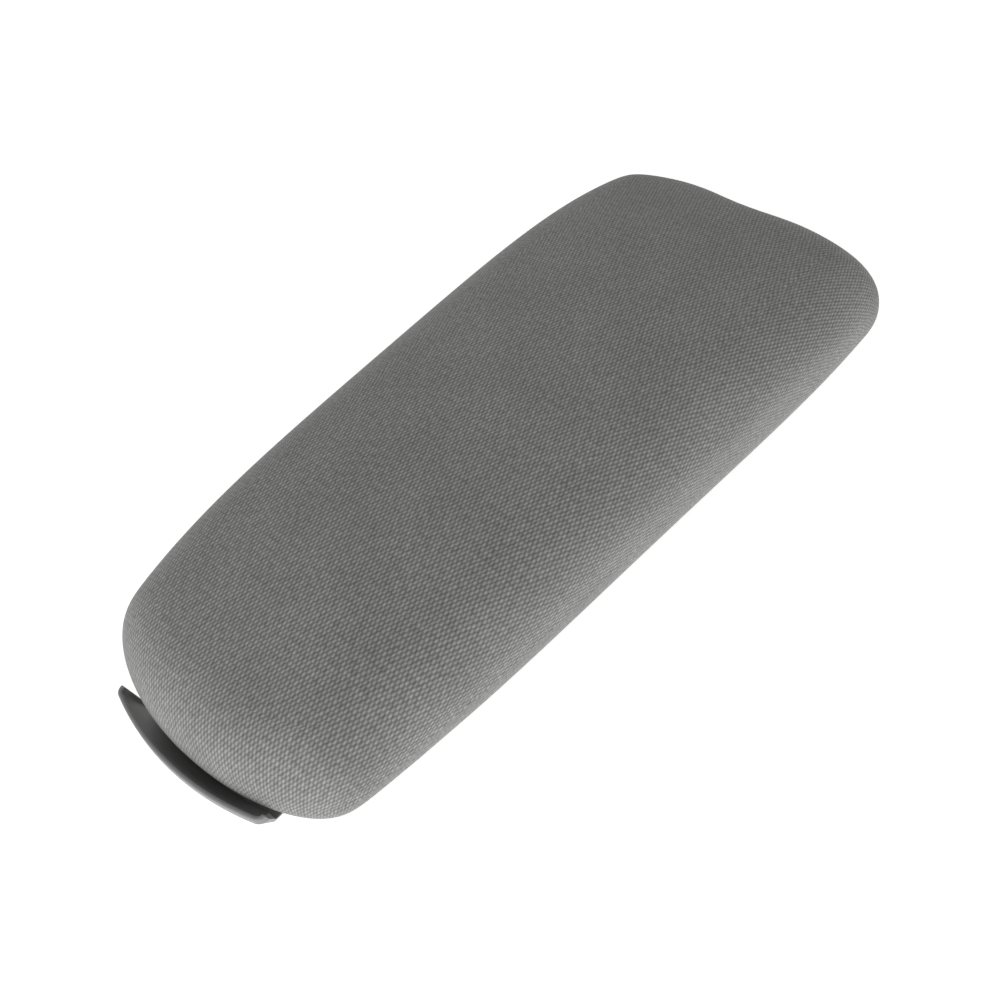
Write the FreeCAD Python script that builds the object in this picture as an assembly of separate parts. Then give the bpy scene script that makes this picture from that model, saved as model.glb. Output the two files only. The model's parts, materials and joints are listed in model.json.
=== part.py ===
import FreeCAD, Part
import math
import os

# Armrest lid of a centre console: a padded, fabric-covered lid with a release lever under its front.
# Millimetres. +Z is up, +Y is the rear (hinge end), +X is the right-hand side.
# The origin is the middle of the closing face, the flat underside of the bottom liner.

V = FreeCAD.Vector

# ---- driving dimensions: the pad's outer form ----
PAD_LENGTH = 290.0
HALF_WIDTH_FRONT = 54.0
HALF_WIDTH_MIDDLE = 59.5
HALF_WIDTH_REAR = 62.0
FRONT_CORNER_SETBACK = 14.0
REAR_CORNER_SETBACK = 3.0
FRONT_CORNER_RADIUS = 25.0
REAR_CORNER_RADIUS = 27.0
CROWN_HEIGHT = 48.5
CROWN_Y = 50.0
FRONT_DROP = 18.5
REAR_DROP = 15.0
FRONT_POWER = 3.2
REAR_POWER = 3.0
CROSS_DROP = 6.0
CROSS_REACH = 60.0
EDGE_ROLL = 15.5
UNDER_ROLL = 8.0

# ---- driving dimensions: the layers, from the closing face up ----
LINER_THICK = 2.5
LINER_INSET = 10.0
LINER_LIP = 1.7
COVER_THICK = 1.8
HEM_WIDTH = 16.0
STAPLE_INSET = 13.4
STAPLE_COUNT = 40
FOAM_SIDE = 5.2
FOAM_TOP = 15.2
SHELL_ROLL = 6.0
FOOT_RELIEF = 1.4
SHELL_WALL = 3.0
FLANGE_INSET = 20.0
RIB_THICK = 2.0
RIB_BOTTOM = 11.0
CROSS_RIBS_Y = (-74.0, -36.0, 2.0, 40.0, 78.0)
LONG_RIBS_X = (-22.0, 22.0)
LONG_RIBS_REAR_Y = 92.0

# ---- driving dimensions: the lever and its latch ----
PIVOT_Y = -104.0
PIVOT_Z = 5.0
PIN_RADIUS = 2.0
PIN_HALF_LENGTH = 20.5
BUSH_GAP = 0.05
BUSH_RADIUS = 3.0
EYE_RADIUS = 5.2
ARM_INNER_X = 9.0
ARM_OUTER_X = 13.5
CHEEK_INNER_X = 15.0
CHEEK_THICK = 3.5
LEVER_FRONT_Y = -150.5
LEVER_FRONT_RADIUS = 106.0
LEVER_HALF_WIDTH = 34.6
LEVER_CORNER_RADIUS = 3.2
LEVER_LEAST_CORNER = 1.4
LEVER_WALL = 1.5
LEVER_FACE = 2.6
LEVER_RIM_ROUND = 0.7
LEVER_END_TOP_Y = -142.8
LEVER_END_FOOT_Y = -138.5
LEVER_SLOPE = 7.0
LEVER_TOP = 12.0
BLADE_TOP = -3.0
BLADE_THICK = 2.5
BLADE_REAR_Y = -130.0
TONGUE_HALF_WIDTH = 25.0
TONGUE_REAR_Y = -92.0
WEB_BOTTOM = 11.5
WEB_THICK = 2.5
SPRING_X = 17.5
SPRING_Y = -116.5
SPRING_COIL_RADIUS = 3.1
SPRING_WIRE_RADIUS = 0.45
SPRING_TURNS = 7
HOOK_HALF_WIDTH = 8.0
HOOK_TIP_Z = -13.0
HOOK_BARB = 2.2
HOOK_SCREW_LENGTH = 6.0
HOOK_SCREW_RADIUS = 1.2
CLIP_GROOVE_RADIUS = 1.6
CLIP_THICK = 0.8

# ---- driving dimensions: hinge mounting and fasteners ----
HINGE_Y = 104.0
HINGE_SPACING_X = 60.0
HINGE_SPACING_Y = 16.0
HINGE_PLATE_HALF_WIDTH = 40.0
HINGE_PLATE_HALF_DEPTH = 14.0
HINGE_PLATE_THICK = 2.0
THREAD_RADIUS = 2.1
NUT_RADIUS = 4.6
NUT_HEIGHT = 4.0
LINER_SCREW_RADIUS = 1.5
LINER_SCREW_LENGTH = 9.0
LINER_BOSS_RADIUS = 4.0
LINER_BOSS_INSET = 21.0
SCREW_HEAD_RADIUS = 3.2
SCREW_HEAD_THICK = 1.3
BUMPER_RADIUS = 6.0
BUMPER_HEIGHT = 3.0
BUMPER_SEAT = 0.8
BUMPER_STEM = 2.5
PLATE_SCREW_HEAD = 3.0
PLATE_SCREW_LENGTH = 8.0

# ---- levels that follow from the layers ----
HEM_BOTTOM = LINER_THICK
HEM_TOP = HEM_BOTTOM + COVER_THICK
FLANGE_TOP = HEM_TOP + SHELL_WALL
SHELL_INSET = COVER_THICK + FOAM_SIDE
SHELL_DROP = COVER_THICK + FOAM_TOP
FRONT_Y = -PAD_LENGTH / 2
REAR_Y = PAD_LENGTH / 2
TALL = 80.0


def box(low, high):
    """Box between two corners."""
    return Part.makeBox(high[0] - low[0], high[1] - low[1], high[2] - low[2], V(*low))


def post(x, y, low, high, radius):
    """Upright cylinder."""
    return Part.makeCylinder(radius, high - low, V(x, y, low))


def axle(x_low, x_high, radius, y=PIVOT_Y, z=PIVOT_Z):
    """Cylinder along X, on the lever's pivot unless said otherwise."""
    return Part.makeCylinder(radius, x_high - x_low, V(x_low, y, z), V(1, 0, 0))


def join(shapes):
    """One solid out of several that touch."""
    return shapes[0].fuse(shapes[1:]).removeSplitter()


def upright_edges(solid, side):
    """The solid's upright edges in front of (side -1) or behind (side 1) the middle."""
    found = []
    for edge in solid.Edges:
        span = edge.BoundBox
        if span.ZLength > 1.0 and span.XLength < 0.01 and span.YLength < 0.01:
            if span.Center.y * side > 0:
                found.append(edge)
    return found


def outline_prism(inset, low, high):
    """Prism of the pad's plan outline, drawn in by inset. Four arcs meet in four rounded corners."""
    corners = []
    for x, y in (
        (HALF_WIDTH_FRONT - inset, FRONT_Y + FRONT_CORNER_SETBACK + inset),
        (HALF_WIDTH_REAR - inset, REAR_Y - REAR_CORNER_SETBACK - inset),
    ):
        corners.append((V(-x, y, low), V(x, y, low)))
    (front_left, front_right), (rear_left, rear_right) = corners
    front = V(0, FRONT_Y + inset, low)
    rear = V(0, REAR_Y - inset, low)
    right = V(HALF_WIDTH_MIDDLE - inset, 0, low)
    left = V(inset - HALF_WIDTH_MIDDLE, 0, low)
    arcs = [
        Part.Arc(front_left, front, front_right).toShape(),
        Part.Arc(front_right, right, rear_right).toShape(),
        Part.Arc(rear_right, rear, rear_left).toShape(),
        Part.Arc(rear_left, left, front_left).toShape(),
    ]
    prism = Part.Face(Part.Wire(arcs)).extrude(V(0, 0, high - low))
    for side, radius in ((-1, FRONT_CORNER_RADIUS), (1, REAR_CORNER_RADIUS)):
        prism = prism.makeFillet(max(radius - inset, 4.0), upright_edges(prism, side))
    return prism


def crown_height(x, y):
    """Height of the pad's crowned top before its edges are rolled over."""
    if y < CROWN_Y:
        lengthwise = FRONT_DROP * ((CROWN_Y - y) / (CROWN_Y - FRONT_Y)) ** FRONT_POWER
    else:
        lengthwise = REAR_DROP * ((y - CROWN_Y) / (REAR_Y - CROWN_Y)) ** REAR_POWER
    return CROWN_HEIGHT - lengthwise - CROSS_DROP * (x / CROSS_REACH) ** 2


def below_crown(drop):
    """Solid under the crowned top, lowered by drop."""
    across = [-75.0 + 25.0 * i for i in range(7)]
    along = [FRONT_Y - 10.0 + 15.5 * i for i in range(21)]
    grid = [[V(x, y, crown_height(x, y) - drop) for y in along] for x in across]
    surface = Part.BSplineSurface()
    surface.interpolate(grid)
    return surface.toShape().extrude(V(0, 0, -TALL))


def pad_form(inset, drop, bottom, edge_roll, under_roll):
    """Closed crowned form with rolled edges, drawn in by inset and lowered by drop at the top."""
    form = outline_prism(inset, bottom, TALL).common(below_crown(drop))
    top = max(form.Faces, key=lambda face: face.CenterOfMass.z)
    form = form.makeFillet(edge_roll, top.Edges)
    base = min(form.Faces, key=lambda face: face.CenterOfMass.z)
    return form.makeFillet(under_roll, base.Edges)


def inner_form():
    """Inside of the cover, which the foam fills."""
    roll = EDGE_ROLL - COVER_THICK
    return pad_form(COVER_THICK, COVER_THICK, HEM_TOP, roll, UNDER_ROLL - COVER_THICK)


def below_arch(drop):
    """Solid under the middle line of the crowned top, lowered by drop and straight across."""
    count = 9
    along = [FRONT_Y - 10.0 + (PAD_LENGTH + 20.0) * i / (count - 1) for i in range(count)]
    line = [V(-TALL, y, crown_height(0, y) - drop) for y in along]
    curve = Part.BSplineCurve()
    curve.interpolate(line)
    front_foot = V(-TALL, line[0].y, -TALL)
    rear_foot = V(-TALL, line[-1].y, -TALL)
    sides = [Part.LineSegment(a, b).toShape() for a, b in
             ((line[-1], rear_foot), (rear_foot, front_foot), (front_foot, line[0]))]
    return Part.Face(Part.Wire([curve.toShape()] + sides)).extrude(V(2 * TALL, 0, 0))


def shell_form(inset, drop, bottom, edge_roll):
    """Closed form of the hard shell under the foam, arched lengthwise, drawn in and lowered."""
    form = outline_prism(inset, bottom, TALL).common(below_arch(drop))
    top = max(form.Faces, key=lambda face: face.CenterOfMass.z)
    return form.makeFillet(edge_roll, top.Edges)


def fabric_cover():
    """Cover skin, turned in under the rim as a hem."""
    outer = pad_form(0.0, 0.0, HEM_BOTTOM, EDGE_ROLL, UNDER_ROLL)
    mouth = outline_prism(HEM_WIDTH, HEM_BOTTOM - 1, HEM_TOP + 1)
    return outer.cut(inner_form()).cut(mouth)


def foam_pad(form, shell):
    """Moulded foam between the cover and the shell."""
    return form.cut(shell)


def half_width(y):
    """Half of the pad's width at a place along its sides, on the side's arc."""
    front = V(HALF_WIDTH_FRONT, FRONT_Y + FRONT_CORNER_SETBACK, 0)
    rear = V(HALF_WIDTH_REAR, REAR_Y - REAR_CORNER_SETBACK, 0)
    arc = Part.Arc(front, V(HALF_WIDTH_MIDDLE, 0, 0), rear).toShape()
    level = Part.LineSegment(V(0, y, 0), V(2 * HALF_WIDTH_REAR, y, 0)).toShape()
    return arc.distToShape(level)[1][0][0].x


def liner_screw_places():
    """Screws through the liner: down both sides, in the front lobes and at the rear corners."""
    places = []
    for side in (-1, 1):
        for y in (-74.0, -12.0, 50.0):
            places.append((side * (half_width(y) - LINER_BOSS_INSET), y))
        places.append((side * 33.0, -103.0))
        places.append((side * 24.0, REAR_Y - HEM_WIDTH - LINER_BOSS_RADIUS - 1.4))
    return places


def bracket_screw_places():
    """Screws that hold the latch bracket up against the shell."""
    return [(side * 25.2, y) for side in (-1, 1) for y in (-116.5, -94.0)]


def hinge_places():
    """Threaded holes of the hinge plate."""
    half_x = HINGE_SPACING_X / 2
    half_y = HINGE_SPACING_Y / 2
    return [(i * half_x, HINGE_Y + j * half_y) for i in (-1, 1) for j in (-1, 1)]


def plate_screw_places():
    """Screws that hold the hinge plate to the shell."""
    return [(-11.0, HINGE_Y), (11.0, HINGE_Y)]


def bumper_places():
    """Rubber stops on the liner, by name."""
    places = {}
    for end, x, y in (("front", 26.0, -60.0), ("rear", 34.0, 78.0)):
        places["bumper_" + end + "_left"] = (-x, y)
        places["bumper_" + end + "_right"] = (x, y)
    return places


def hexagon(x, y, low, high, radius):
    """Upright hexagonal prism."""
    corners = []
    for i in range(7):
        turn = math.radians(60 * i)
        corners.append(V(x + radius * math.cos(turn), y + radius * math.sin(turn), low))
    return Part.Face(Part.makePolygon(corners)).extrude(V(0, 0, high - low))


def lid_shell(form):
    """Ribbed carrier of hard plastic with an inward flange, screw bosses and nut pockets."""
    cavity_inset = SHELL_INSET + SHELL_WALL
    cavity = shell_form(cavity_inset, SHELL_DROP + SHELL_WALL, FLANGE_TOP, SHELL_ROLL - SHELL_WALL)
    mouth = outline_prism(FLANGE_INSET, HEM_TOP - 1, FLANGE_TOP + 1)
    foot = outline_prism(0.0, HEM_TOP - 1, HEM_TOP + FOOT_RELIEF)
    foot = foot.cut(outline_prism(SHELL_INSET + FOOT_RELIEF, HEM_TOP - 2, HEM_TOP + FOOT_RELIEF + 1))
    shell = form.cut(cavity).cut(mouth).cut(foot)
    half_rib = RIB_THICK / 2
    ribs = [box((-TALL, y - half_rib, RIB_BOTTOM), (TALL, y + half_rib, TALL)) for y in CROSS_RIBS_Y]
    for x in LONG_RIBS_X:
        ribs.append(box((x - half_rib, CROSS_RIBS_Y[0], RIB_BOTTOM), (x + half_rib, LONG_RIBS_REAR_Y, TALL)))
    columns = [post(x, y, HEM_TOP, TALL, LINER_BOSS_RADIUS) for x, y in liner_screw_places()]
    columns += [post(x, y, WEB_BOTTOM + WEB_THICK, TALL, 4.0) for x, y in bracket_screw_places()]
    columns += [post(x, y, HEM_TOP, TALL, 7.0) for x, y in hinge_places()]
    columns += [post(x, y, HEM_TOP, TALL, 4.0) for x, y in plate_screw_places()]
    inside = [solid.common(form) for solid in ribs + columns]
    feet = [post(x, y, HEM_BOTTOM, HEM_TOP, LINER_BOSS_RADIUS) for x, y in liner_screw_places()]
    shell = join([shell] + inside + feet)
    low = HEM_BOTTOM - 1
    holes = [post(x, y, low, low + 12, LINER_SCREW_RADIUS) for x, y in liner_screw_places()]
    holes += [post(x, y, WEB_BOTTOM, WEB_BOTTOM + WEB_THICK + 5, 1.2) for x, y in bracket_screw_places()]
    holes += [hexagon(x, y, HEM_TOP - 1, HEM_TOP + NUT_HEIGHT, NUT_RADIUS) for x, y in hinge_places()]
    holes += [post(x, y, HEM_TOP, HEM_TOP + 12, 2.8) for x, y in hinge_places()]
    holes += [post(x, y, HEM_TOP - 1, HEM_TOP + 8, LINER_SCREW_RADIUS) for x, y in plate_screw_places()]
    return shell.cut(holes)


def pan_screw(x, y, seat, length, shank):
    """Pan-head screw driven upwards: its head hangs below the seat and has a cross recess."""
    head = post(x, y, seat - SCREW_HEAD_THICK, seat, SCREW_HEAD_RADIUS)
    head = head.makeFillet(0.5, [edge for edge in head.Edges if edge.CenterOfMass.z < seat - 1])
    screw = head.fuse(post(x, y, seat, seat + length, shank))
    bottom = seat - SCREW_HEAD_THICK
    for reach_x, reach_y in ((1.7, 0.4), (0.4, 1.7)):
        slot = box((x - reach_x, y - reach_y, bottom - 1), (x + reach_x, y + reach_y, bottom + 0.8))
        screw = screw.cut(slot)
    return screw.removeSplitter()


def countersink(x, y):
    """Cone of a countersunk head in the hinge plate, flush with the plate's lower face."""
    low = HEM_TOP - HINGE_PLATE_THICK
    depth = PLATE_SCREW_HEAD - LINER_SCREW_RADIUS
    return Part.makeCone(PLATE_SCREW_HEAD, LINER_SCREW_RADIUS, depth, V(x, y, low))


def countersunk_screw(x, y):
    """Self-tapping screw with a flush countersunk head and a cross recess, pointing up."""
    low = HEM_TOP - HINGE_PLATE_THICK
    screw = countersink(x, y).fuse(post(x, y, low + 1, low + PLATE_SCREW_LENGTH, LINER_SCREW_RADIUS))
    for reach_x, reach_y in ((1.7, 0.4), (0.4, 1.7)):
        screw = screw.cut(box((x - reach_x, y - reach_y, low - 1), (x + reach_x, y + reach_y, low + 0.8)))
    return screw.removeSplitter()


def hinge_window(low, high, gap):
    """Rectangle around the hinge plate, grown by gap."""
    half_x = HINGE_PLATE_HALF_WIDTH + gap
    half_y = HINGE_PLATE_HALF_DEPTH + gap
    window = box((-half_x, HINGE_Y - half_y, low), (half_x, HINGE_Y + half_y, high))
    return window.makeFillet(3.0 + gap, upright_edges(window, 1))


def bottom_liner():
    """Flat inner panel with a thin lip over the hem, a mouth for the lever and a hinge window."""
    liner = outline_prism(LINER_INSET, 0.0, LINER_THICK)
    rim = outline_prism(LINER_INSET - 2, LINER_LIP, LINER_THICK + 1)
    liner = liner.cut(rim.cut(outline_prism(HEM_WIDTH + 0.4, LINER_LIP - 1, LINER_THICK + 2)))
    mouth = box((-27.5, -126.0, -1.0), (27.5, -88.0, 4.0))
    mouth = mouth.fuse(box((-37.0, -150.0, -1.0), (37.0, -125.0, 4.0))).removeSplitter()
    liner = liner.cut(mouth)
    liner = liner.cut(hinge_window(-1.0, LINER_THICK + 1, 1.0))
    holes = []
    for x, y in liner_screw_places():
        holes.append(post(x, y, -1, LINER_THICK + 1, LINER_SCREW_RADIUS))
        holes.append(post(x, y, -1, SCREW_HEAD_THICK, SCREW_HEAD_RADIUS + 0.6))
    for x, y in bumper_places().values():
        holes.append(post(x, y, -1, LINER_THICK + 1, BUMPER_STEM))
        holes.append(post(x, y, -1, BUMPER_SEAT, BUMPER_RADIUS + 0.3))
    return liner.cut(holes)


def bumper(x, y):
    """Mushroom-shaped rubber stop pushed through the liner, its head in a shallow seat."""
    head = post(x, y, -BUMPER_HEIGHT, BUMPER_SEAT, BUMPER_RADIUS)
    head = head.makeFillet(1.2, [edge for edge in head.Edges if edge.CenterOfMass.z < -1])
    barb = Part.makeCone(3.4, 2.0, 2.5, V(x, y, LINER_THICK))
    return join([head, post(x, y, BUMPER_SEAT, LINER_THICK, BUMPER_STEM), barb])


def staple(x, y, turn):
    """Wire staple: a crown against the hem and two legs into the shell's flange."""
    crown = box((-4.5, -0.5, HEM_BOTTOM - 0.6), (4.5, 0.5, HEM_BOTTOM))
    legs = [box((end - 0.3, -0.5, HEM_BOTTOM), (end + 0.3, 0.5, HEM_BOTTOM + 4.2)) for end in (-4.2, 4.2)]
    solid = join([crown] + legs)
    solid.rotate(V(0, 0, 0), V(0, 0, 1), turn)
    solid.translate(V(x, y, 0))
    return solid


def staples():
    """Staples all round the hem, evenly spaced along it."""
    base = min(outline_prism(STAPLE_INSET, 0, 5).Faces, key=lambda face: face.CenterOfMass.z)
    ring = base.OuterWire
    made = []
    points = ring.discretize(STAPLE_COUNT + 1)
    for point, ahead in zip(points[:-1], points[1:]):
        middle = (point + ahead) * 0.5
        run = ahead - point
        made.append(staple(middle.x, middle.y, math.degrees(math.atan2(run.y, run.x))))
    return made


def hinge_plate():
    """Steel plate with four tapped holes that the console's hinge is bolted to."""
    plate = hinge_window(HEM_TOP - HINGE_PLATE_THICK, HEM_TOP, 0.0)
    holes = [post(x, y, 0, TALL, THREAD_RADIUS) for x, y in hinge_places()]
    holes += [post(x, y, 0, TALL, LINER_SCREW_RADIUS) for x, y in plate_screw_places()]
    holes += [countersink(x, y) for x, y in plate_screw_places()]
    return plate.cut(holes)


def hinge_nuts():
    """Weld nuts behind the plate's tapped holes."""
    nuts = []
    for x, y in hinge_places():
        nut = hexagon(x, y, HEM_TOP, HEM_TOP + NUT_HEIGHT, NUT_RADIUS)
        nuts.append(nut.cut(post(x, y, 0, TALL, THREAD_RADIUS)))
    return nuts


def scoop_outline(inset, level):
    """Plan of the finger scoop at one level, drawn in by inset from its front and its two ends."""
    half = LEVER_HALF_WIDTH - inset
    radius = LEVER_FRONT_RADIUS - inset
    front = LEVER_FRONT_Y + inset
    corner_y = front + radius - math.sqrt(radius ** 2 - half ** 2)
    left = V(-half, corner_y, level)
    right = V(half, corner_y, level)
    rear_left = V(-half, BLADE_REAR_Y, level)
    rear_right = V(half, BLADE_REAR_Y, level)
    edges = [
        Part.Arc(left, V(0, front, level), right).toShape(),
        Part.LineSegment(right, rear_right).toShape(),
        Part.LineSegment(rear_right, rear_left).toShape(),
        Part.LineSegment(rear_left, left).toShape(),
    ]
    prism = Part.Face(Part.Wire(edges)).extrude(V(0, 0, 5))
    corners = [edge for edge in upright_edges(prism, -1) if edge.CenterOfMass.y < BLADE_REAR_Y - 1]
    prism = prism.makeFillet(max(LEVER_CORNER_RADIUS - inset, LEVER_LEAST_CORNER), corners)
    return min(prism.Faces, key=lambda face: face.CenterOfMass.z).OuterWire


def flared_dish(low, slope_top, bottom_inset, top_inset):
    """Solid that flares outwards from its floor and then rises straight to the lever's top."""
    sections = [scoop_outline(bottom_inset, low), scoop_outline(top_inset, slope_top)]
    flare = Part.makeLoft(sections, True, True)
    rim = Part.Face(scoop_outline(top_inset, slope_top)).extrude(V(0, 0, LEVER_TOP + 1 - slope_top))
    return flare.fuse(rim)


def side_prism(points, x_low, x_high):
    """Prism along X of a polygon given as (y, z) points."""
    corners = [V(x_low, y, z) for y, z in points]
    return Part.Face(Part.makePolygon(corners + corners[:1])).extrude(V(x_high - x_low, 0, 0))


def scoop():
    """Curved finger scoop with an upswept lip, open at the rear where it passes under the pad."""
    slope_top = LEVER_TOP - LEVER_FACE
    outer = flared_dish(BLADE_TOP - BLADE_THICK, slope_top, LEVER_SLOPE, 0.0)
    inner = flared_dish(BLADE_TOP, slope_top + 1.0, LEVER_SLOPE + LEVER_WALL, LEVER_WALL)
    over = box((-TALL, LEVER_FRONT_Y - 5, LEVER_TOP), (TALL, BLADE_REAR_Y + 5, TALL))
    dish = outer.cut(inner).cut(over)
    rim = []
    for edge in dish.Edges:
        if edge.BoundBox.ZMin > LEVER_TOP - 0.01 and edge.CenterOfMass.y < BLADE_REAR_Y - 1:
            rim.append(edge)
    dish = dish.makeFillet(LEVER_RIM_ROUND, rim)
    slant = [
        (LEVER_END_TOP_Y, LEVER_TOP + 1),
        (LEVER_END_FOOT_Y, BLADE_TOP),
        (BLADE_REAR_Y + 10, BLADE_TOP),
        (BLADE_REAR_Y + 10, LEVER_TOP + 1),
    ]
    return dish.cut(side_prism(slant, -TALL, TALL))


def spring_places():
    """Return springs in front of the pivot, left and right."""
    return [(-SPRING_X, SPRING_Y), (SPRING_X, SPRING_Y)]


def hook_screw_places():
    """Screws that hold the hook to the lever's tongue."""
    return [(0.0, -110.4), (0.0, -99.6)]


def release_lever():
    """Finger scoop, flat tongue, two arms with eyes, spring posts and screw bosses, in one moulding."""
    low = BLADE_TOP - BLADE_THICK
    tongue = box((-TONGUE_HALF_WIDTH, BLADE_REAR_Y - 1, low), (TONGUE_HALF_WIDTH, TONGUE_REAR_Y, BLADE_TOP))
    tongue = tongue.makeFillet(4.0, [e for e in tongue.Edges if e.BoundBox.XLength + e.BoundBox.YLength < 0.1
                                     and e.CenterOfMass.y > BLADE_REAR_Y])
    pieces = [scoop(), tongue]
    arm = [(-111.0, BLADE_TOP), (-97.0, BLADE_TOP), (PIVOT_Y + 4.9, PIVOT_Z), (PIVOT_Y - 4.9, PIVOT_Z)]
    for side in (-1, 1):
        ends = sorted((side * ARM_INNER_X, side * ARM_OUTER_X))
        pieces.append(side_prism(arm, *ends))
        pieces.append(axle(ends[0], ends[1], EYE_RADIUS))
        pieces.append(side_prism([(-131, BLADE_TOP), (-111, BLADE_TOP), (-111, -1.0), (-122, -1.0)], *ends))
    pieces += [post(x, y, BLADE_TOP, BLADE_TOP + 3, 2.2) for x, y in spring_places()]
    pieces += [post(x, y, BLADE_TOP, BLADE_TOP + 3, 2.6) for x, y in hook_screw_places()]
    holes = [axle(-TALL, TALL, BUSH_RADIUS)]
    holes += [post(x, y, low - 1, BLADE_TOP + 2.4, 1.2) for x, y in hook_screw_places()]
    return join(pieces).cut(holes)


def latch_hook():
    """Steel hook: a foot under the tongue, a shank and a barb that faces the rear."""
    top = BLADE_TOP - BLADE_THICK
    foot = box((-HOOK_HALF_WIDTH, -114.5, top - 2.0), (HOOK_HALF_WIDTH, -95.5, top))
    shank_front = PIVOT_Y - 2.5
    shank_rear = PIVOT_Y + 0.5
    profile = [
        (shank_front, top - 2.0),
        (shank_front, HOOK_TIP_Z + 1.5),
        (shank_front + 1.0, HOOK_TIP_Z),
        (shank_rear, HOOK_TIP_Z),
        (shank_rear + HOOK_BARB, HOOK_TIP_Z + 2.2),
        (shank_rear + HOOK_BARB, HOOK_TIP_Z + 3.0),
        (shank_rear, HOOK_TIP_Z + 3.0),
        (shank_rear, top - 2.0),
    ]
    hook = join([foot, side_prism(profile, -HOOK_HALF_WIDTH, HOOK_HALF_WIDTH)])
    return hook.cut([post(x, y, top - 3, top + 1, 1.2) for x, y in hook_screw_places()])


def pivot_bush(side):
    """Flanged plastic sleeve in one eye of the lever."""
    inner, outer = side * ARM_INNER_X, side * ARM_OUTER_X
    flange_end = outer + side * 1.0
    sleeve = axle(min(inner, outer), max(inner, outer), BUSH_RADIUS)
    flange = axle(min(outer, flange_end), max(outer, flange_end), BUSH_RADIUS + 1.3)
    return join([sleeve, flange]).cut(axle(-TALL, TALL, PIN_RADIUS + BUSH_GAP))


def latch_bracket():
    """Moulded bracket: a web under the shell, two cheeks for the pin, spring seats and a stop foot."""
    top = WEB_BOTTOM + WEB_THICK
    web = box((-28.6, -121.0, WEB_BOTTOM), (28.6, -89.0, top))
    pieces = [web]
    cheek = [(-112.5, WEB_BOTTOM), (-95.5, WEB_BOTTOM), (PIVOT_Y + 4.8, PIVOT_Z), (PIVOT_Y - 4.8, PIVOT_Z)]
    for side in (-1, 1):
        ends = sorted((side * CHEEK_INNER_X, side * (CHEEK_INNER_X + CHEEK_THICK)))
        pieces.append(side_prism(cheek, *ends))
        pieces.append(axle(ends[0], ends[1], 5.0))
    pieces += [post(x, y, WEB_BOTTOM - 2.5, WEB_BOTTOM, 2.2) for x, y in spring_places()]
    pieces.append(box((-5.0, -96.4, -1.2), (5.0, -92.8, WEB_BOTTOM)))
    holes = [axle(-TALL, TALL, PIN_RADIUS)]
    holes += [post(x, y, WEB_BOTTOM - 1, top + 1, 1.2) for x, y in bracket_screw_places()]
    return join(pieces).cut(holes)


def pivot_pin():
    """Steel pin with a groove near each end."""
    pin = axle(-PIN_HALF_LENGTH, PIN_HALF_LENGTH, PIN_RADIUS)
    for side in (-1, 1):
        start = side * (CHEEK_INNER_X + CHEEK_THICK)
        end = start + side * CLIP_THICK
        ring = axle(min(start, end), max(start, end), PIN_RADIUS + 1)
        pin = pin.cut(ring.cut(axle(-TALL, TALL, CLIP_GROOVE_RADIUS)))
    return pin


def pin_clips():
    """Open spring clips in the pin's grooves."""
    clips = []
    for side in (-1, 1):
        start = side * (CHEEK_INNER_X + CHEEK_THICK)
        end = start + side * CLIP_THICK
        low, high = min(start, end), max(start, end)
        ring = axle(low, high, 3.8).cut(axle(low - 1, high + 1, CLIP_GROOVE_RADIUS))
        clips.append(ring.cut(box((low - 1, PIVOT_Y - 1.1, PIVOT_Z), (high + 1, PIVOT_Y + 1.1, PIVOT_Z + 9))))
    return clips


def return_spring(x, y):
    """Coil spring between the lever's tongue and the bracket's web."""
    gap = SPRING_WIRE_RADIUS + 0.05
    low = BLADE_TOP + gap
    height = WEB_BOTTOM - gap - low
    helix = Part.makeHelix(height / SPRING_TURNS, height, SPRING_COIL_RADIUS)
    helix.translate(V(x, y, low))
    start = V(x + SPRING_COIL_RADIUS, y, low)
    circle = Part.Wire(Part.makeCircle(SPRING_WIRE_RADIUS, start, V(0, 1, 0)))
    return Part.Wire(helix.Edges).makePipeShell([circle], True, True)


def stop_pad():
    """Rubber pad on the bracket's foot that the lever's tail rests against."""
    return box((-5.0, -96.4, -2.7), (5.0, -92.8, -1.2))


def build():
    """Every node of the lid, by name."""
    form = inner_form()
    shell = shell_form(SHELL_INSET, SHELL_DROP, HEM_TOP, SHELL_ROLL)
    nodes = {
        "fabric_cover": [fabric_cover()],
        "foam_pad": [foam_pad(form, shell)],
        "lid_shell": [lid_shell(shell)],
        "bottom_liner": [bottom_liner()],
        "liner_screws": [
            pan_screw(x, y, SCREW_HEAD_THICK, LINER_SCREW_LENGTH, LINER_SCREW_RADIUS)
            for x, y in liner_screw_places()
        ],
        "cover_staples": staples(),
        "hinge_plate": [hinge_plate()],
        "hinge_nuts": hinge_nuts(),
        "hinge_plate_screws": [countersunk_screw(x, y) for x, y in plate_screw_places()],
        "latch_bracket": [latch_bracket()],
        "bracket_screws": [pan_screw(x, y, WEB_BOTTOM, 6.5, 1.2) for x, y in bracket_screw_places()],
        "pivot_pin": [pivot_pin()],
        "pin_clips": pin_clips(),
        "lever_stop_pad": [stop_pad()],
        "release_lever": [release_lever()],
        "latch_hook": [latch_hook()],
        "hook_screws": [
            pan_screw(x, y, BLADE_TOP - BLADE_THICK - 2, HOOK_SCREW_LENGTH, HOOK_SCREW_RADIUS)
            for x, y in hook_screw_places()
        ],
        "pivot_bush_left": [pivot_bush(-1)],
        "pivot_bush_right": [pivot_bush(1)],
    }
    for name, (x, y) in zip(("return_spring_left", "return_spring_right"), spring_places()):
        nodes[name] = [return_spring(x, y)]
    for name, (x, y) in bumper_places().items():
        nodes[name] = [bumper(x, y)]
    return nodes


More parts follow.
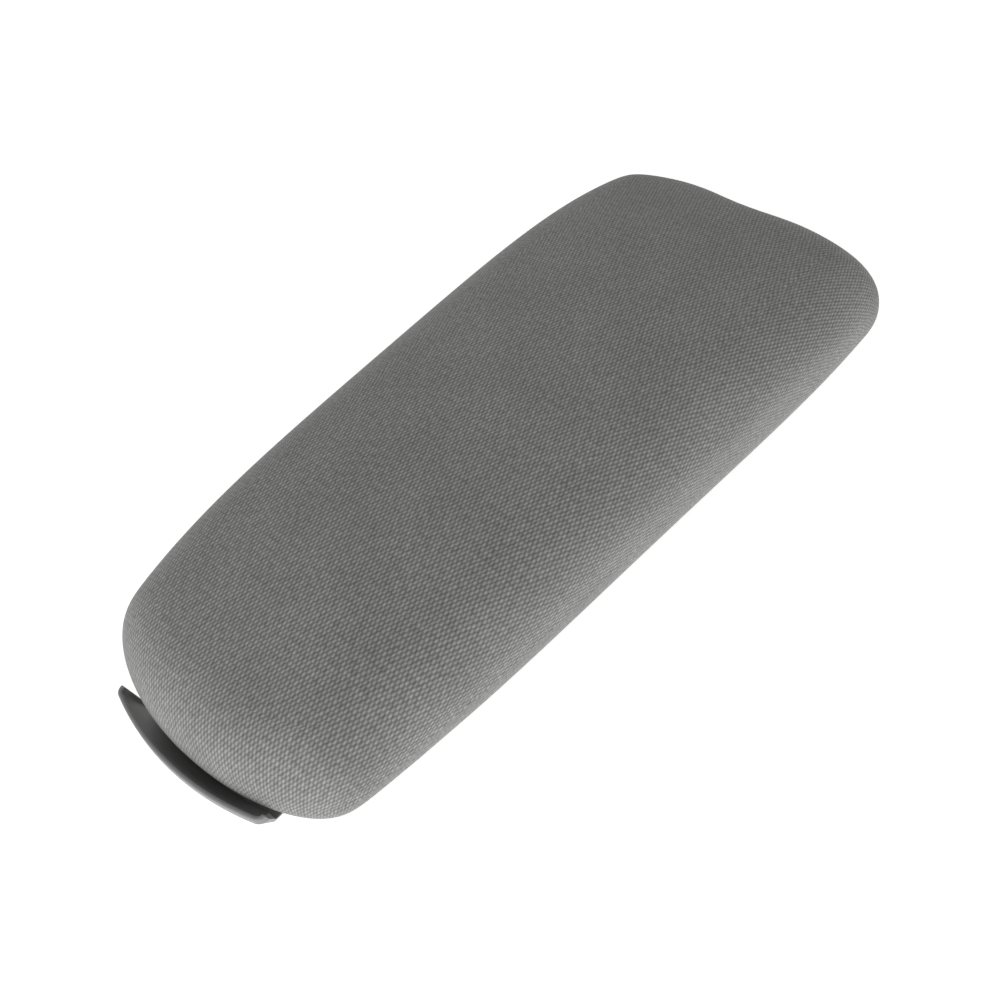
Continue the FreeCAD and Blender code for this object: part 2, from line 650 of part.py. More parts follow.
os.makedirs("parts", exist_ok=True)
for node, solids in build().items():
    shape = Part.makeCompound(solids) if len(solids) > 1 else solids[0]
    shape.exportStep("parts/" + node + ".step")
    print(node, len(shape.Solids), "solids", round(shape.Volume, 1), "mm3", shape.isValid())
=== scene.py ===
import json
import math

import bmesh
import bpy
import numpy as np
from mathutils import Matrix, Vector


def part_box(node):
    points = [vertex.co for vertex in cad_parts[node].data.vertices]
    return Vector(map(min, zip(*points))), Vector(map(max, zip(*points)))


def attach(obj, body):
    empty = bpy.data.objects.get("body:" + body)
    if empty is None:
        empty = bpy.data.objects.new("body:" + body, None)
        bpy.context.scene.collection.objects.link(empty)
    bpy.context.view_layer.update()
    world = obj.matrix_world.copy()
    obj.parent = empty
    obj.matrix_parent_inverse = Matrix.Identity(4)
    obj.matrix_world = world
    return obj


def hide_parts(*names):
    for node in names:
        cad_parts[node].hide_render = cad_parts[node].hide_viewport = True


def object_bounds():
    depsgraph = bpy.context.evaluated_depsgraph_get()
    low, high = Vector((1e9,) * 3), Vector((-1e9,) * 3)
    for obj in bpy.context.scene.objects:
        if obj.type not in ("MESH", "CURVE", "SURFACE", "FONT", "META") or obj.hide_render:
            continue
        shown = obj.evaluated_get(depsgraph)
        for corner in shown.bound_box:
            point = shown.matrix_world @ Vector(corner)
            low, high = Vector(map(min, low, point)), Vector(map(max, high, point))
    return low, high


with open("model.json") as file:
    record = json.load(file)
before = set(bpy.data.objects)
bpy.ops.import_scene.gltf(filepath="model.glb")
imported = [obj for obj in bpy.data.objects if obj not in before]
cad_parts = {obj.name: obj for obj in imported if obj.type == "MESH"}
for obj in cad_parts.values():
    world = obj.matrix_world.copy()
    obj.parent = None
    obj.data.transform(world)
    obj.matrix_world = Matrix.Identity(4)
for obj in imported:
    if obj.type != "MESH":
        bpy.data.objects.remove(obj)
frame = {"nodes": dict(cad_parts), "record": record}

# Armrest lid of a centre console. Metres. +Z is up, +Y is the rear, +X is the right-hand side.
# The cover is a cloth-simulated skin over the foam; hard parts are the frame's own, with materials.

cad_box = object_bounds()
MM = 0.001

# ---- the pad's outer form, around the frame's own box of the cover ----
cover_low, cover_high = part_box("fabric_cover")
FRONT_Y = cover_low[1]
REAR_Y = cover_high[1]
BASE_Z = cover_low[2]
LENGTH = REAR_Y - FRONT_Y
HALF_LENGTH = LENGTH / 2
STATIONS = (-1.0, -0.5, 0.0, 0.5, 1.0)
HALF_WIDTHS = (47.3, 58.3, 61.0, 63.5, 59.8)
CROWN_HEIGHTS = (28.1, 42.05, 46.3, 47.6, 35.5)
FRONT_CAP = 20.7 * MM
REAR_CAP = 25.8 * MM
FRONT_SQUARENESS = 2.1
REAR_SQUARENESS = 3.6
REAR_DIP = 3.9 * MM
REAR_DIP_WIDTH = 16.6 * MM
CROSS_DROP = 6.3 * MM
CROSS_REACH = 60.0 * MM
ROLL_WIDTHS = (16.5 * MM, 21.0 * MM)
ROLL_HEIGHTS = (15.1 * MM, 17.4 * MM)
UNDER_WIDTH = 10.7 * MM
UNDER_HEIGHT = 14.7 * MM
HEM_WIDTH = 16.0 * MM
LEAST_WALL = 1.6 * MM

# ---- mesh density ----
CELLS_ACROSS = 22
CELLS_ALONG = 64
ROLL_RINGS = 9
WALL_RINGS = 4
UNDER_RINGS = 6
HEM_RINGS = 3
LOOP_STEPS = 1600
LOOP_EASING = 60
NORMAL_EASING = 1000

# ---- weave, in millimetres: dots along a row, and two rows ----
WEAVE_ACROSS = 1.4
WEAVE_ALONG = 3.1

# ---- cloth ----
FABRIC_THICK = 1.4 * MM
START_INSET = 0.5 * MM
FOAM_GAP = 0.2 * MM
FOAM_THICK = 4.0 * MM
SWELL_CAP = 0.5 * MM
CLOTH_FRAMES = 20

# ---- camera: lens in millimetres, angles in degrees ----
AZIMUTH = 49.87
ELEVATION = 48.05
ROLL = 10.015
DISTANCE = 403.2 * MM
AIM = Vector((0.0, 0.0, 22.5 * MM))
SHIFT = Vector((4.1 * MM, 21.43 * MM, 0.0))
LENS = 43.37
SENSOR = 36.0

# ---- floor, lamp and sky: metres, watts and light strengths ----
FLOOR_REACH = 6.0
FLOOR_GLOW = 0.72
LAMP_PLACE = (0.5, -1.3, 0.35)
LAMP_TARGET = (0.0, 0.0, 0.02)
LAMP_SIZE = 0.9
LAMP_POWER = 9.0
SKY = 0.49
REAR_SKY = 0.30

# ---- cover colours: between the dots and on them; partly the weave's own pattern, partly painted shade in the pits and painted sheen on the raised dots ----
FABRIC_DARK = (0.185, 0.186, 0.182)
FABRIC_LIGHT = (0.39, 0.393, 0.38)


# ---------------------------------------------------------------- pad surface

def through_stations(values, y):
    """Smooth curve through five values, in millimetres, at even stations from front to rear."""
    return np.polyval(np.polyfit(STATIONS, values, len(STATIONS) - 1), y / HALF_LENGTH) * MM


def half_outline(samples=400):
    """Right-hand half of the plan outline, from the middle of the front to the middle of the rear."""
    turn = np.linspace(0, math.pi / 2, samples)
    sine, cosine = np.sin(turn), np.cos(turn)
    front_y = FRONT_Y + FRONT_CAP * (1 - cosine ** (2 / FRONT_SQUARENESS))
    front_x = through_stations(HALF_WIDTHS, front_y) * sine ** (2 / FRONT_SQUARENESS)
    side_y = np.linspace(FRONT_Y + FRONT_CAP, REAR_Y - REAR_CAP, samples)[1:-1]
    side_x = through_stations(HALF_WIDTHS, side_y)
    rear_y = REAR_Y - REAR_CAP * (1 - sine ** (2 / REAR_SQUARENESS))
    rear_x = through_stations(HALF_WIDTHS, rear_y) * cosine ** (2 / REAR_SQUARENESS)
    rear_y = rear_y - REAR_DIP * np.exp(-((rear_x / REAR_DIP_WIDTH) ** 2))
    return np.concatenate([front_x, side_x, rear_x]), np.concatenate([front_y, side_y, rear_y])


def smooth_loop(points, passes):
    """Closed loop with each point drawn towards its neighbours, which rounds small kinks."""
    for _ in range(passes):
        points = (np.roll(points, 1, 0) + 2 * points + np.roll(points, -1, 0)) / 4
    return points


def even_loop():
    """Closed plan outline and its normals, evenly spaced along each of its four sides."""
    x, y = half_outline()
    loop = np.stack([np.concatenate([x, -x[::-1]]), np.concatenate([y, y[::-1]])], 1)
    keep = np.linalg.norm(np.diff(loop, axis=0, append=loop[:1]), axis=1) > 1e-7
    loop = smooth_loop(along(np.vstack([loop[keep], loop[:1]]), LOOP_STEPS), LOOP_EASING)
    normal = outward(loop)
    heading = np.unwrap(np.arctan2(normal[:, 1], normal[:, 0]))
    heading = heading - heading[0]
    corners = [int(np.argmin(abs(heading - math.radians(turn)))) for turn in (45, 135, 225, 315)]
    both = np.hstack([loop, normal])
    sides = []
    counts = [CELLS_ALONG, CELLS_ACROSS, CELLS_ALONG, CELLS_ACROSS]
    for k in range(4):
        start, end = corners[k], corners[(k + 1) % 4]
        run = np.arange(start, end + 1) if end > start else np.r_[start:len(loop), 0:end + 1]
        sides.append(along(both[run], counts[k]))
    both = np.concatenate(sides)
    return both[:, :2], both[:, 2:] / np.linalg.norm(both[:, 2:], axis=1)[:, None]


def along(line, count):
    """The first count of count + 1 places evenly spaced along an open line of plan points."""
    run = np.concatenate([[0], np.cumsum(np.linalg.norm(np.diff(line[:, :2], axis=0), axis=1))])
    want = np.linspace(0, run[-1], count + 1)[:-1]
    return np.stack([np.interp(want, run, column) for column in line.T], 1)


def outward(loop):
    """Unit normals of a counter-clockwise loop, eased round the corners so that insets don't fold."""
    step = np.roll(loop, -1, 0) - np.roll(loop, 1, 0)
    normal = smooth_loop(np.stack([step[:, 1], -step[:, 0]], 1), NORMAL_EASING)
    return normal / np.linalg.norm(normal, axis=1)[:, None]


def crown(x, y):
    """Height of the crowned top before its edges roll over."""
    return through_stations(CROWN_HEIGHTS, y) - CROSS_DROP * (x / CROSS_REACH) ** 2


def length_along_crown(y):
    """Length along the crowned middle line, so that the weave keeps its pitch on the slopes."""
    grid = np.linspace(FRONT_Y, REAR_Y, 400)
    slope = np.gradient(crown(0, grid), grid)
    run = np.concatenate([[0], np.cumsum(np.hypot(1, (slope[1:] + slope[:-1]) / 2) * np.diff(grid))])
    return np.interp(y, grid, run) + FRONT_Y


def side_profile(loop, normal):
    """Rings from the top's edge over the roll, down the wall, under the rim and along the hem."""
    rings = []
    share = (loop[:, 1] / HALF_LENGTH + 1) / 2
    roll_width = ROLL_WIDTHS[0] + (ROLL_WIDTHS[1] - ROLL_WIDTHS[0]) * share
    roll_height = ROLL_HEIGHTS[0] + (ROLL_HEIGHTS[1] - ROLL_HEIGHTS[0]) * share
    for step in range(ROLL_RINGS + 1):
        turn = math.pi / 2 * (1 - step / ROLL_RINGS)
        plan = loop - normal * (roll_width * (1 - math.cos(turn)))[:, None]
        height = crown(plan[:, 0], plan[:, 1]) - roll_height * (1 - math.sin(turn))
        rings.append(np.column_stack([plan, height]))
    wall_top = rings[-1][:, 2]
    wall_foot = np.minimum(BASE_Z + UNDER_HEIGHT, wall_top - LEAST_WALL)
    for step in range(1, WALL_RINGS + 1):
        part = step / WALL_RINGS
        rings.append(np.column_stack([loop, wall_top + (wall_foot - wall_top) * part]))
    under = wall_foot - BASE_Z
    for step in range(1, UNDER_RINGS + 1):
        turn = math.pi / 2 * step / UNDER_RINGS
        plan = loop - normal * UNDER_WIDTH * (1 - math.cos(turn))
        rings.append(np.column_stack([plan, BASE_Z + under * (1 - math.sin(turn))]))
    for step in range(1, HEM_RINGS + 1):
        inset = UNDER_WIDTH + (HEM_WIDTH - UNDER_WIDTH) * step / HEM_RINGS
        rings.append(np.column_stack([loop - normal * inset, np.full(len(loop), BASE_Z)]))
    return rings


def coons_grid(edge):
    """Plan positions of a grid whose border is the closed edge, by blending its four sides."""
    across, along_count = CELLS_ACROSS, CELLS_ALONG
    right = edge[:along_count + 1]
    rear = edge[along_count:along_count + across + 1]
    left = edge[along_count + across:2 * along_count + across + 1]
    front = np.vstack([edge[2 * along_count + across:], edge[:1]])
    left, rear = left[::-1], rear[::-1]
    grid = np.zeros((across + 1, along_count + 1, edge.shape[1]))
    for i in range(across + 1):
        u = i / across
        for j in range(along_count + 1):
            v = j / along_count
            sides = (1 - u) * left[j] + u * right[j] + (1 - v) * front[i] + v * rear[i]
            left_corners = (1 - v) * front[0] + v * rear[0]
            right_corners = (1 - v) * front[-1] + v * rear[-1]
            grid[i, j] = sides - (1 - u) * left_corners - u * right_corners
    return grid


def pad_points():
    """Vertices, faces and weave coordinates of the cover's outer skin."""
    loop, normal = even_loop()
    rings = side_profile(loop, normal)
    ridge = rings[0]
    weave_ridge = np.column_stack([ridge[:, 0], length_along_crown(ridge[:, 1])])
    count = len(loop)
    grid = coons_grid(ridge[:, :2])
    across, along_count = CELLS_ACROSS, CELLS_ALONG
    index = -np.ones((across + 1, along_count + 1), int)
    border = [(across, j) for j in range(along_count)]
    border += [(i, along_count) for i in range(across, 0, -1)]
    border += [(0, j) for j in range(along_count, 0, -1)]
    border += [(i, 0) for i in range(across)]
    for k, cell in enumerate(border):
        index[cell] = k
    points = list(rings)
    run = np.zeros(count)
    weave = [weave_ridge]
    for inner, outer in zip(rings[:-1], rings[1:]):
        run = run + np.linalg.norm(outer - inner, axis=1)
        weave.append(weave_ridge + normal * run[:, None])
    inside = []
    total = count * len(rings)
    for i in range(1, across):
        for j in range(1, along_count):
            index[i, j] = total + len(inside)
            inside.append(grid[i, j])
    inside = np.array(inside)
    points.append(np.column_stack([inside, crown(inside[:, 0], inside[:, 1])]))
    weave.append(np.column_stack([inside[:, 0], length_along_crown(inside[:, 1])]))
    faces = []
    for i in range(across):
        for j in range(along_count):
            faces.append([index[i, j], index[i + 1, j], index[i + 1, j + 1], index[i, j + 1]])
    for r in range(len(rings) - 1):
        for k in range(count):
            ahead = (k + 1) % count
            faces.append([r * count + k, (r + 1) * count + k, (r + 1) * count + ahead, r * count + ahead])
    ring_of = np.concatenate([np.repeat(np.arange(len(rings)), count), np.zeros(len(inside), int)])
    return np.vstack(points), faces, np.vstack(weave), ring_of


# ---------------------------------------------------------------- node helpers

def new_material(name):
    """Node material: returns the material, its nodes, a call that links them and its shader."""
    material = bpy.data.materials.new(name)
    material.use_nodes = True
    tree = material.node_tree
    return material, tree.nodes, tree.links.new, tree.nodes["Principled BSDF"]


def maths(nodes, link, operation, first, second=None):
    """Math node on two sockets or numbers; returns its output."""
    node = nodes.new("ShaderNodeMath")
    node.operation = operation
    for socket, value in zip(node.inputs, (first, second)):
        if value is None:
            continue
        if isinstance(value, (int, float)):
            socket.default_value = value
        else:
            link(value, socket)
    return node.outputs[0]


def noise(nodes, link, coordinates, scale, detail=3.0, roughness=0.5):
    """Noise of one scale on some coordinates; returns its value."""
    node = nodes.new("ShaderNodeTexNoise")
    node.inputs["Scale"].default_value = scale
    node.inputs["Detail"].default_value = detail
    node.inputs["Roughness"].default_value = roughness
    link(coordinates, node.inputs["Vector"])
    return node.outputs["Fac"]


def spread(nodes, link, value, low, high, to_low, to_high, kind="LINEAR"):
    """Map Range node; returns its result."""
    node = nodes.new("ShaderNodeMapRange")
    node.interpolation_type = kind
    for name, number in (("From Min", low), ("From Max", high), ("To Min", to_low), ("To Max", to_high)):
        node.inputs[name].default_value = number
    link(value, node.inputs["Value"])
    return node.outputs["Result"]


def blend_colours(nodes, link, factor, dark, light):
    """Colour between two colours; returns its output."""
    node = nodes.new("ShaderNodeMix")
    node.data_type = "RGBA"
    for socket, colour in ((node.inputs[6], dark), (node.inputs[7], light)):
        socket.default_value = (*colour, 1.0)
    link(factor, node.inputs[0])
    return node.outputs[2]


def tinted(nodes, link, colour, factor):
    """Colour times a number; returns its output."""
    node = nodes.new("ShaderNodeVectorMath")
    node.operation = "SCALE"
    link(colour, node.inputs[0])
    link(factor, node.inputs["Scale"])
    return node.outputs[0]


def raised(nodes, link, height, distance, strength, shader):
    """Bump from a height in metres times distance."""
    node = nodes.new("ShaderNodeBump")
    node.inputs["Distance"].default_value = distance
    node.inputs["Strength"].default_value = strength
    link(height, node.inputs["Height"])
    link(node.outputs[0], shader.inputs["Normal"])


def place(nodes):
    """Coordinates of a point on its object, in metres."""
    return nodes.new("ShaderNodeTexCoord").outputs["Object"]


# ---------------------------------------------------------------- materials

def woven_fabric():
    """Grey woven cloth: small raised dots in brick order over dark gaps, with fuzz and uneven yarn; the
    dark gaps and light dots are partly painted shade in the pits and painted sheen on the dots.
    """
    material, nodes, link, shader = new_material("cover_fabric")
    thread = nodes.new("ShaderNodeAttribute")
    thread.attribute_name = "weave"
    flat = thread.outputs["Vector"]
    wander = nodes.new("ShaderNodeTexNoise")
    wander.inputs["Scale"].default_value = 0.22
    wander.inputs["Detail"].default_value = 2.0
    link(flat, wander.inputs["Vector"])
    shift = nodes.new("ShaderNodeVectorMath")
    shift.operation = "MULTIPLY_ADD"
    link(wander.outputs["Color"], shift.inputs[0])
    shift.inputs[1].default_value = (0.5, 0.5, 0.0)
    link(flat, shift.inputs[2])
    split = nodes.new("ShaderNodeSeparateXYZ")
    link(shift.outputs[0], split.inputs[0])
    along_dots = maths(nodes, link, "MULTIPLY", split.outputs[0], math.tau / WEAVE_ACROSS)
    across = maths(nodes, link, "COSINE", along_dots)
    along_rows = maths(nodes, link, "MULTIPLY", split.outputs[1], math.tau / WEAVE_ALONG)
    lattice = maths(nodes, link, "MULTIPLY", across, maths(nodes, link, "COSINE", along_rows))
    rows = maths(nodes, link, "COSINE", maths(nodes, link, "MULTIPLY", along_rows, 2.0))
    knots = maths(nodes, link, "ADD", lattice, maths(nodes, link, "MULTIPLY", rows, 0.12))
    dot = spread(nodes, link, knots, -0.75, 0.85, 0.0, 1.0, "SMOOTHSTEP")
    uneven = spread(nodes, link, noise(nodes, link, flat, 0.55, 2.0), 0.3, 0.7, 0.80, 1.20)
    fibre = spread(nodes, link, noise(nodes, link, flat, 5.0, 2.0, 0.6), 0.3, 0.7, 0.86, 1.14)
    mottle = spread(nodes, link, noise(nodes, link, flat, 0.04, 2.0), 0.35, 0.65, 0.95, 1.05)
    tone = maths(nodes, link, "MULTIPLY", maths(nodes, link, "MULTIPLY", uneven, fibre), mottle)
    # Painted light: the dot mask that raises the weave also darkens its pits (painted shade) and lightens
    # its raised dots (painted sheen), on top of the weave's own pattern.
    cloth = blend_colours(nodes, link, dot, FABRIC_DARK, FABRIC_LIGHT)
    link(tinted(nodes, link, cloth, tone), shader.inputs["Base Color"])
    shader.inputs["Roughness"].default_value = 0.92
    shader.inputs["Specular IOR Level"].default_value = 0.2
    shader.inputs["Sheen Weight"].default_value = 0.3
    shader.inputs["Sheen Roughness"].default_value = 0.5
    fuzz = maths(nodes, link, "MULTIPLY", noise(nodes, link, flat, 5.0, 3.0, 0.6), 0.35)
    raised(nodes, link, maths(nodes, link, "ADD", dot, fuzz), 0.3 * MM, 0.6, shader)
    return material


def moulded_plastic(name, colour, roughness, grain, depth, specular=0.5):
    """Plastic from a textured mould: fine pebbled grain, slightly uneven colour and gloss."""
    material, nodes, link, shader = new_material(name)
    where = place(nodes)
    pebble = nodes.new("ShaderNodeTexVoronoi")
    pebble.feature = "SMOOTH_F1"
    pebble.inputs["Scale"].default_value = grain
    link(where, pebble.inputs["Vector"])
    fine = noise(nodes, link, where, grain * 2.5, 2.0)
    fine_height = maths(nodes, link, "MULTIPLY", fine, 0.4)
    height = maths(nodes, link, "ADD", pebble.outputs["Distance"], fine_height)
    raised(nodes, link, height, depth, 0.6, shader)
    cloud = noise(nodes, link, where, 60.0, 4.0)
    tone = maths(nodes, link, "MULTIPLY", spread(nodes, link, cloud, 0.3, 0.7, 0.93, 1.07),
                 spread(nodes, link, fine, 0.3, 0.7, 0.94, 1.06))
    base = nodes.new("ShaderNodeRGB")
    base.outputs[0].default_value = (*colour, 1.0)
    link(tinted(nodes, link, base.outputs[0], tone), shader.inputs["Base Color"])
    gloss = spread(nodes, link, cloud, 0.3, 0.7, roughness - 0.06, roughness + 0.08)
    link(gloss, shader.inputs["Roughness"])
    shader.inputs["Specular IOR Level"].default_value = specular
    return material


def worked_metal(name, colour, roughness, scratch, stain):
    """Metal with fine drawn scratches and a patchy plated or oiled surface."""
    material, nodes, link, shader = new_material(name)
    where = place(nodes)
    stretch = nodes.new("ShaderNodeMapping")
    stretch.inputs["Scale"].default_value = (1.0, 0.12, 1.0)
    link(where, stretch.inputs["Vector"])
    drawn = noise(nodes, link, stretch.outputs[0], scratch, 3.0, 0.6)
    patch = noise(nodes, link, where, 180.0, 5.0, 0.6)
    base = blend_colours(nodes, link, spread(nodes, link, patch, 0.35, 0.65, 0.0, 1.0),
                         tuple(channel * (1 - stain) for channel in colour), colour)
    link(base, shader.inputs["Base Color"])
    shader.inputs["Metallic"].default_value = 1.0
    gloss = spread(nodes, link, patch, 0.3, 0.7, roughness - 0.08, roughness + 0.12)
    link(gloss, shader.inputs["Roughness"])
    raised(nodes, link, drawn, 0.02 * MM, 0.5, shader)
    return material


def cellular_foam():
    """Open-cell polyurethane foam, with painted shade darkening each pore."""
    material, nodes, link, shader = new_material("foam")
    where = place(nodes)
    cells = nodes.new("ShaderNodeTexVoronoi")
    cells.inputs["Scale"].default_value = 900.0
    link(where, cells.inputs["Vector"])
    open_cell = spread(nodes, link, cells.outputs["Distance"], 0.1, 0.6, 0.0, 1.0)
    # Painted shade: the pore centres, which the bump sinks, get a dark colour that stands in for the
    # shade inside the holes.
    colour = blend_colours(nodes, link, open_cell, (0.09, 0.08, 0.06), (0.42, 0.38, 0.28))
    link(colour, shader.inputs["Base Color"])
    shader.inputs["Roughness"].default_value = 0.95
    raised(nodes, link, open_cell, 0.5 * MM, 0.8, shader)
    return material


def soft_rubber():
    """Black rubber with a dull bloom."""
    material, nodes, link, shader = new_material("rubber_black")
    where = place(nodes)
    bloom = noise(nodes, link, where, 300.0, 4.0, 0.6)
    link(blend_colours(nodes, link, spread(nodes, link, bloom, 0.4, 0.7, 0.0, 1.0),
                       (0.012, 0.012, 0.013), (0.035, 0.035, 0.036)), shader.inputs["Base Color"])
    link(spread(nodes, link, bloom, 0.3, 0.7, 0.6, 0.85), shader.inputs["Roughness"])
    raised(nodes, link, noise(nodes, link, where, 2500.0, 2.0), 0.05 * MM, 0.5, shader)
    return material


FINISHES = {
    "foam": cellular_foam(),
    "shell_plastic": moulded_plastic("shell_plastic", (0.022, 0.022, 0.023), 0.5, 1500.0, 0.03 * MM),
    "liner_plastic": moulded_plastic("liner_plastic", (0.12, 0.12, 0.121), 0.55, 1100.0, 0.08 * MM),
    "lever_plastic": moulded_plastic("lever_plastic", (0.27, 0.27, 0.27), 0.42, 2200.0, 0.02 * MM),
    "bracket_plastic": moulded_plastic("bracket_plastic", (0.02, 0.02, 0.021), 0.45, 1800.0, 0.02 * MM),
    "bush_plastic": moulded_plastic("bush_plastic", (0.62, 0.61, 0.57), 0.38, 1800.0, 0.01 * MM),
    "steel_fastener": worked_metal("steel_fastener", (0.62, 0.62, 0.6), 0.32, 9000.0, 0.25),
    "staple_wire": worked_metal("staple_wire", (0.6, 0.58, 0.53), 0.35, 9000.0, 0.3),
    "plate_steel": worked_metal("plate_steel", (0.5, 0.5, 0.49), 0.42, 3000.0, 0.35),
    "pin_steel": worked_metal("pin_steel", (0.55, 0.55, 0.55), 0.25, 9000.0, 0.2),
    "spring_steel": worked_metal("spring_steel", (0.35, 0.34, 0.33), 0.3, 9000.0, 0.3),
    "rubber_black": soft_rubber(),
    "cover_fabric": woven_fabric(),
}


def finish_nodes():
    """Gives each of the frame's own nodes the procedural finish of its material slot."""
    for row in frame["record"]["subparts"]:
        for held in frame["nodes"][row["node"]].material_slots:
            held.material = FINISHES[row["material_slot"]]


finish_nodes()

# ---------------------------------------------------------------- fabric cover

def build_cover():
    """Cover skin, drawn in a little from its full shape, with weave coordinates in millimetres."""
    points, faces, weave, ring = pad_points()
    mesh = bpy.data.meshes.new("fabric_skin")
    mesh.from_pydata(points.tolist(), [], [[int(i) for i in face] for face in faces])
    mesh.validate()
    mesh.shade_smooth()
    threads = mesh.attributes.new("weave", "FLOAT_VECTOR", "POINT")
    flat = np.column_stack([weave / MM, np.zeros(len(weave))])
    threads.data.foreach_set("vector", flat.astype(np.float32).ravel())
    skin = bpy.data.objects.new("fabric_skin", mesh)
    bpy.context.scene.collection.objects.link(skin)
    return skin, points, ring


def swell(skin, target, ring):
    """Cloth under light pressure from the foam, held along the hem and round the under-roll."""
    free = np.clip((ROLL_RINGS + WALL_RINGS + 2 - ring) / 3.0, 0.0, 1.0)
    normals = np.zeros(len(target) * 3)
    skin.data.vertices.foreach_get("normal", normals)
    normals = normals.reshape(-1, 3)
    start = target - normals * (START_INSET * free)[:, None]
    skin.data.vertices.foreach_set("co", start.astype(np.float32).ravel())
    skin.data.update()
    held = skin.vertex_groups.new(name="held")
    for index, share in enumerate(1.0 - free):
        if share > 0:
            held.add([index], float(share), "REPLACE")
    cloth = skin.modifiers.new("cloth", "CLOTH")
    settings = cloth.settings
    settings.quality = 8
    settings.mass = 0.35
    settings.tension_stiffness = 30.0
    settings.compression_stiffness = 30.0
    settings.shear_stiffness = 12.0
    settings.bending_stiffness = 6.0
    settings.use_pressure = True
    settings.uniform_pressure_force = 4.0
    settings.vertex_group_mass = "held"
    settings.effector_weights.gravity = 0.0
    cloth.collision_settings.use_collision = False
    scene = bpy.context.scene
    for step in range(1, CLOTH_FRAMES + 1):
        scene.frame_set(step)
    shaped = skin.evaluated_get(bpy.context.evaluated_depsgraph_get()).to_mesh()
    moved = np.zeros(len(target) * 3)
    shaped.vertices.foreach_get("co", moved)
    moved = moved.reshape(-1, 3) - target
    skin.modifiers.remove(cloth)
    scene.frame_set(1)
    size = np.linalg.norm(moved, axis=1)
    limited = SWELL_CAP * np.tanh(size / SWELL_CAP)
    share = limited / np.maximum(size, 1e-9)
    final = target + moved * share[:, None]
    skin.data.vertices.foreach_set("co", final.astype(np.float32).ravel())
    skin.data.update()


def apply_modifiers(piece):
    """Turns a piece's modifiers into mesh."""
    evaluated = piece.evaluated_get(bpy.context.evaluated_depsgraph_get())
    mesh = bpy.data.meshes.new_from_object(evaluated, preserve_all_data_layers=True,
                                           depsgraph=bpy.context.evaluated_depsgraph_get())
    piece.modifiers.clear()
    piece.data = mesh


def thicken(piece, thickness):
    """Subdivides a skin once and gives it thickness inwards."""
    smooth = piece.modifiers.new("smooth", "SUBSURF")
    smooth.levels = smooth.render_levels = 1
    thick = piece.modifiers.new("thick", "SOLIDIFY")
    thick.thickness = thickness
    thick.offset = -1.0
    apply_modifiers(piece)


def build_foam(skin, ring):
    """Foam just inside the cover: the cover's own surface, drawn in, down to the under-roll."""
    mesh = skin.data.copy()
    places = np.zeros(len(ring) * 3)
    normals = np.zeros(len(ring) * 3)
    mesh.vertices.foreach_get("co", places)
    mesh.vertices.foreach_get("normal", normals)
    places -= normals * (FABRIC_THICK + FOAM_GAP)
    mesh.vertices.foreach_set("co", places.astype(np.float32))
    edit = bmesh.new()
    edit.from_mesh(mesh)
    last_ring = ROLL_RINGS + WALL_RINGS + UNDER_RINGS // 2
    beyond = [vertex for vertex in edit.verts if ring[vertex.index] > last_ring]
    bmesh.ops.delete(edit, geom=beyond, context="VERTS")
    edit.to_mesh(mesh)
    edit.free()
    mesh.name = "foam_core"
    foam = bpy.data.objects.new("foam_core", mesh)
    bpy.context.scene.collection.objects.link(foam)
    return foam


cover, cover_target, cover_ring = build_cover()
swell(cover, cover_target, cover_ring)
foam = build_foam(cover, cover_ring)
for piece, thickness, slot_name in ((cover, FABRIC_THICK, "cover_fabric"), (foam, FOAM_THICK, "foam")):
    thicken(piece, thickness)
    piece.data.materials.append(FINISHES[slot_name])
    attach(piece, "lid")
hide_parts("fabric_cover")
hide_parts("foam_pad")

# ---------------------------------------------------------------- stage, light and camera

def floor_material():
    """White light table: pale, matt and faintly glowing, so that it lights the object from below."""
    material, nodes, link, shader = new_material("floor")
    shader.inputs["Base Color"].default_value = (0.86, 0.86, 0.86, 1.0)
    shader.inputs["Roughness"].default_value = 1.0
    shader.inputs["Specular IOR Level"].default_value = 0.0
    shader.inputs["Emission Color"].default_value = (1.0, 1.0, 1.0, 1.0)
    shader.inputs["Emission Strength"].default_value = FLOOR_GLOW
    return material


def add_floor(level):
    """Wide floor at one level."""
    mesh = bpy.data.meshes.new("floor")
    corners = [(x * FLOOR_REACH, y * FLOOR_REACH, level) for x, y in ((-1, -1), (1, -1), (1, 1), (-1, 1))]
    mesh.from_pydata(corners, [], [(0, 1, 2, 3)])
    mesh.materials.append(floor_material())
    floor = bpy.data.objects.new("floor", mesh)
    bpy.context.scene.collection.objects.link(floor)


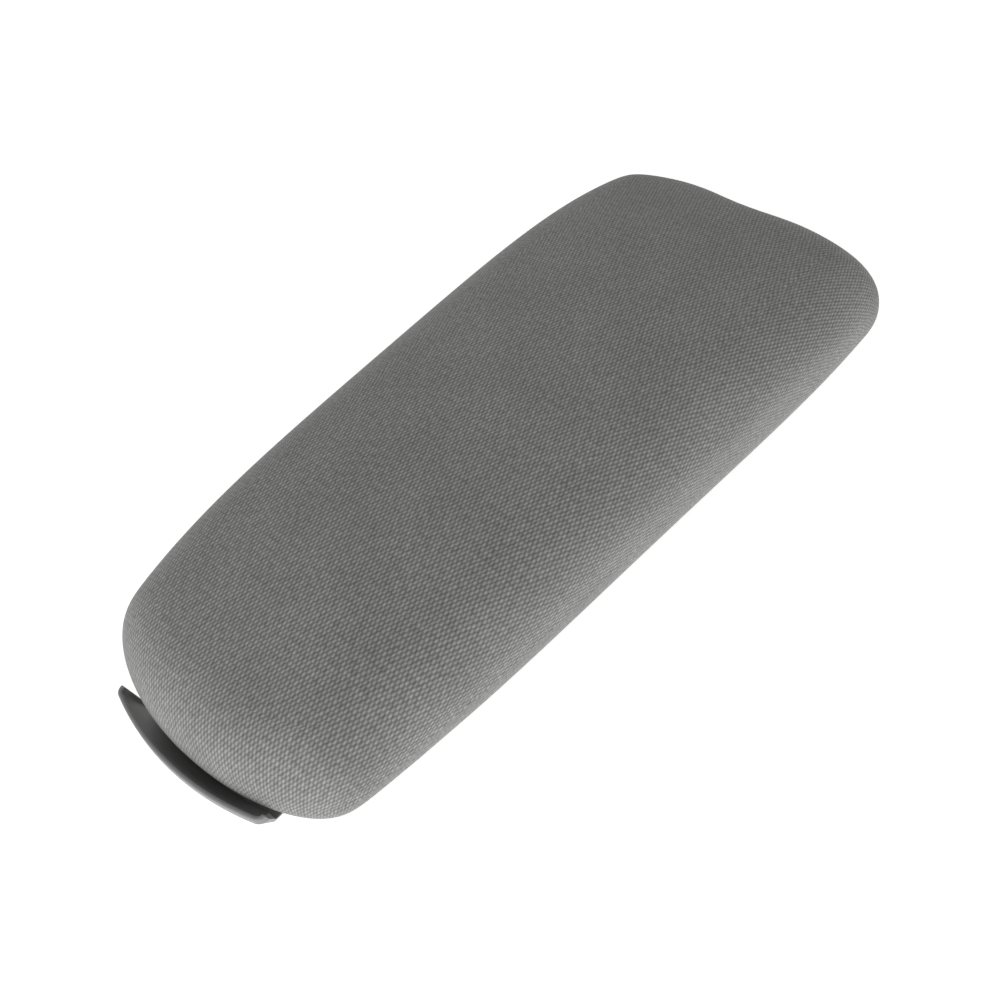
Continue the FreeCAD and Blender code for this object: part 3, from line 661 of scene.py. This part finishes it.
def add_soft_light(name, position, target, size, power):
    """Square soft light that faces a target."""
    lamp = bpy.data.lights.new(name, "AREA")
    lamp.shape = "SQUARE"
    lamp.size = size
    lamp.energy = power
    light = bpy.data.objects.new(name, lamp)
    light.location = position
    light.rotation_mode = "QUATERNION"
    light.rotation_quaternion = (Vector(target) - Vector(position)).to_track_quat("-Z", "Y")
    bpy.context.scene.collection.objects.link(light)


def add_sky(strength, rear_strength):
    """White surroundings that darken evenly towards the rear."""
    world = bpy.data.worlds.new("studio")
    world.use_nodes = True
    nodes, link = world.node_tree.nodes, world.node_tree.links.new
    back = nodes["Background"]
    back.inputs["Color"].default_value = (1.0, 1.0, 1.0, 1.0)
    facing = nodes.new("ShaderNodeTexCoord")
    split = nodes.new("ShaderNodeSeparateXYZ")
    link(facing.outputs["Generated"], split.inputs[0])
    fade = spread(nodes, link, split.outputs[1], -1.0, 1.0, strength, rear_strength, "SMOOTHSTEP")
    link(fade, back.inputs["Strength"])
    bpy.context.scene.world = world


def add_camera():
    """Camera above the front right, turned a few degrees about its view."""
    turn, rise, roll = (math.radians(angle) for angle in (AZIMUTH, ELEVATION, ROLL))
    back = Vector((math.sin(turn) * math.cos(rise), -math.cos(turn) * math.cos(rise), math.sin(rise)))
    right = (-back).cross(Vector((0.0, 0.0, 1.0))).normalized()
    above = right.cross(-back)
    across = right * math.cos(roll) - above * math.sin(roll)
    up = right * math.sin(roll) + above * math.cos(roll)
    lens = bpy.data.cameras.new("camera")
    lens.lens = LENS
    lens.sensor_width = SENSOR
    lens.clip_start = 0.01
    lens.clip_end = 50.0
    camera = bpy.data.objects.new("camera", lens)
    bpy.context.scene.collection.objects.link(camera)
    position = AIM + back * DISTANCE - across * SHIFT.x - up * SHIFT.y
    turned = Matrix((across, up, back)).transposed().to_4x4()
    camera.matrix_world = Matrix.Translation(position) @ turned
    bpy.context.scene.camera = camera


add_floor(cad_box[0].z)
add_soft_light("front_soft", LAMP_PLACE, LAMP_TARGET, LAMP_SIZE, LAMP_POWER)
add_sky(SKY, REAR_SKY)
add_camera()
bpy.context.scene.view_settings.view_transform = "Standard"
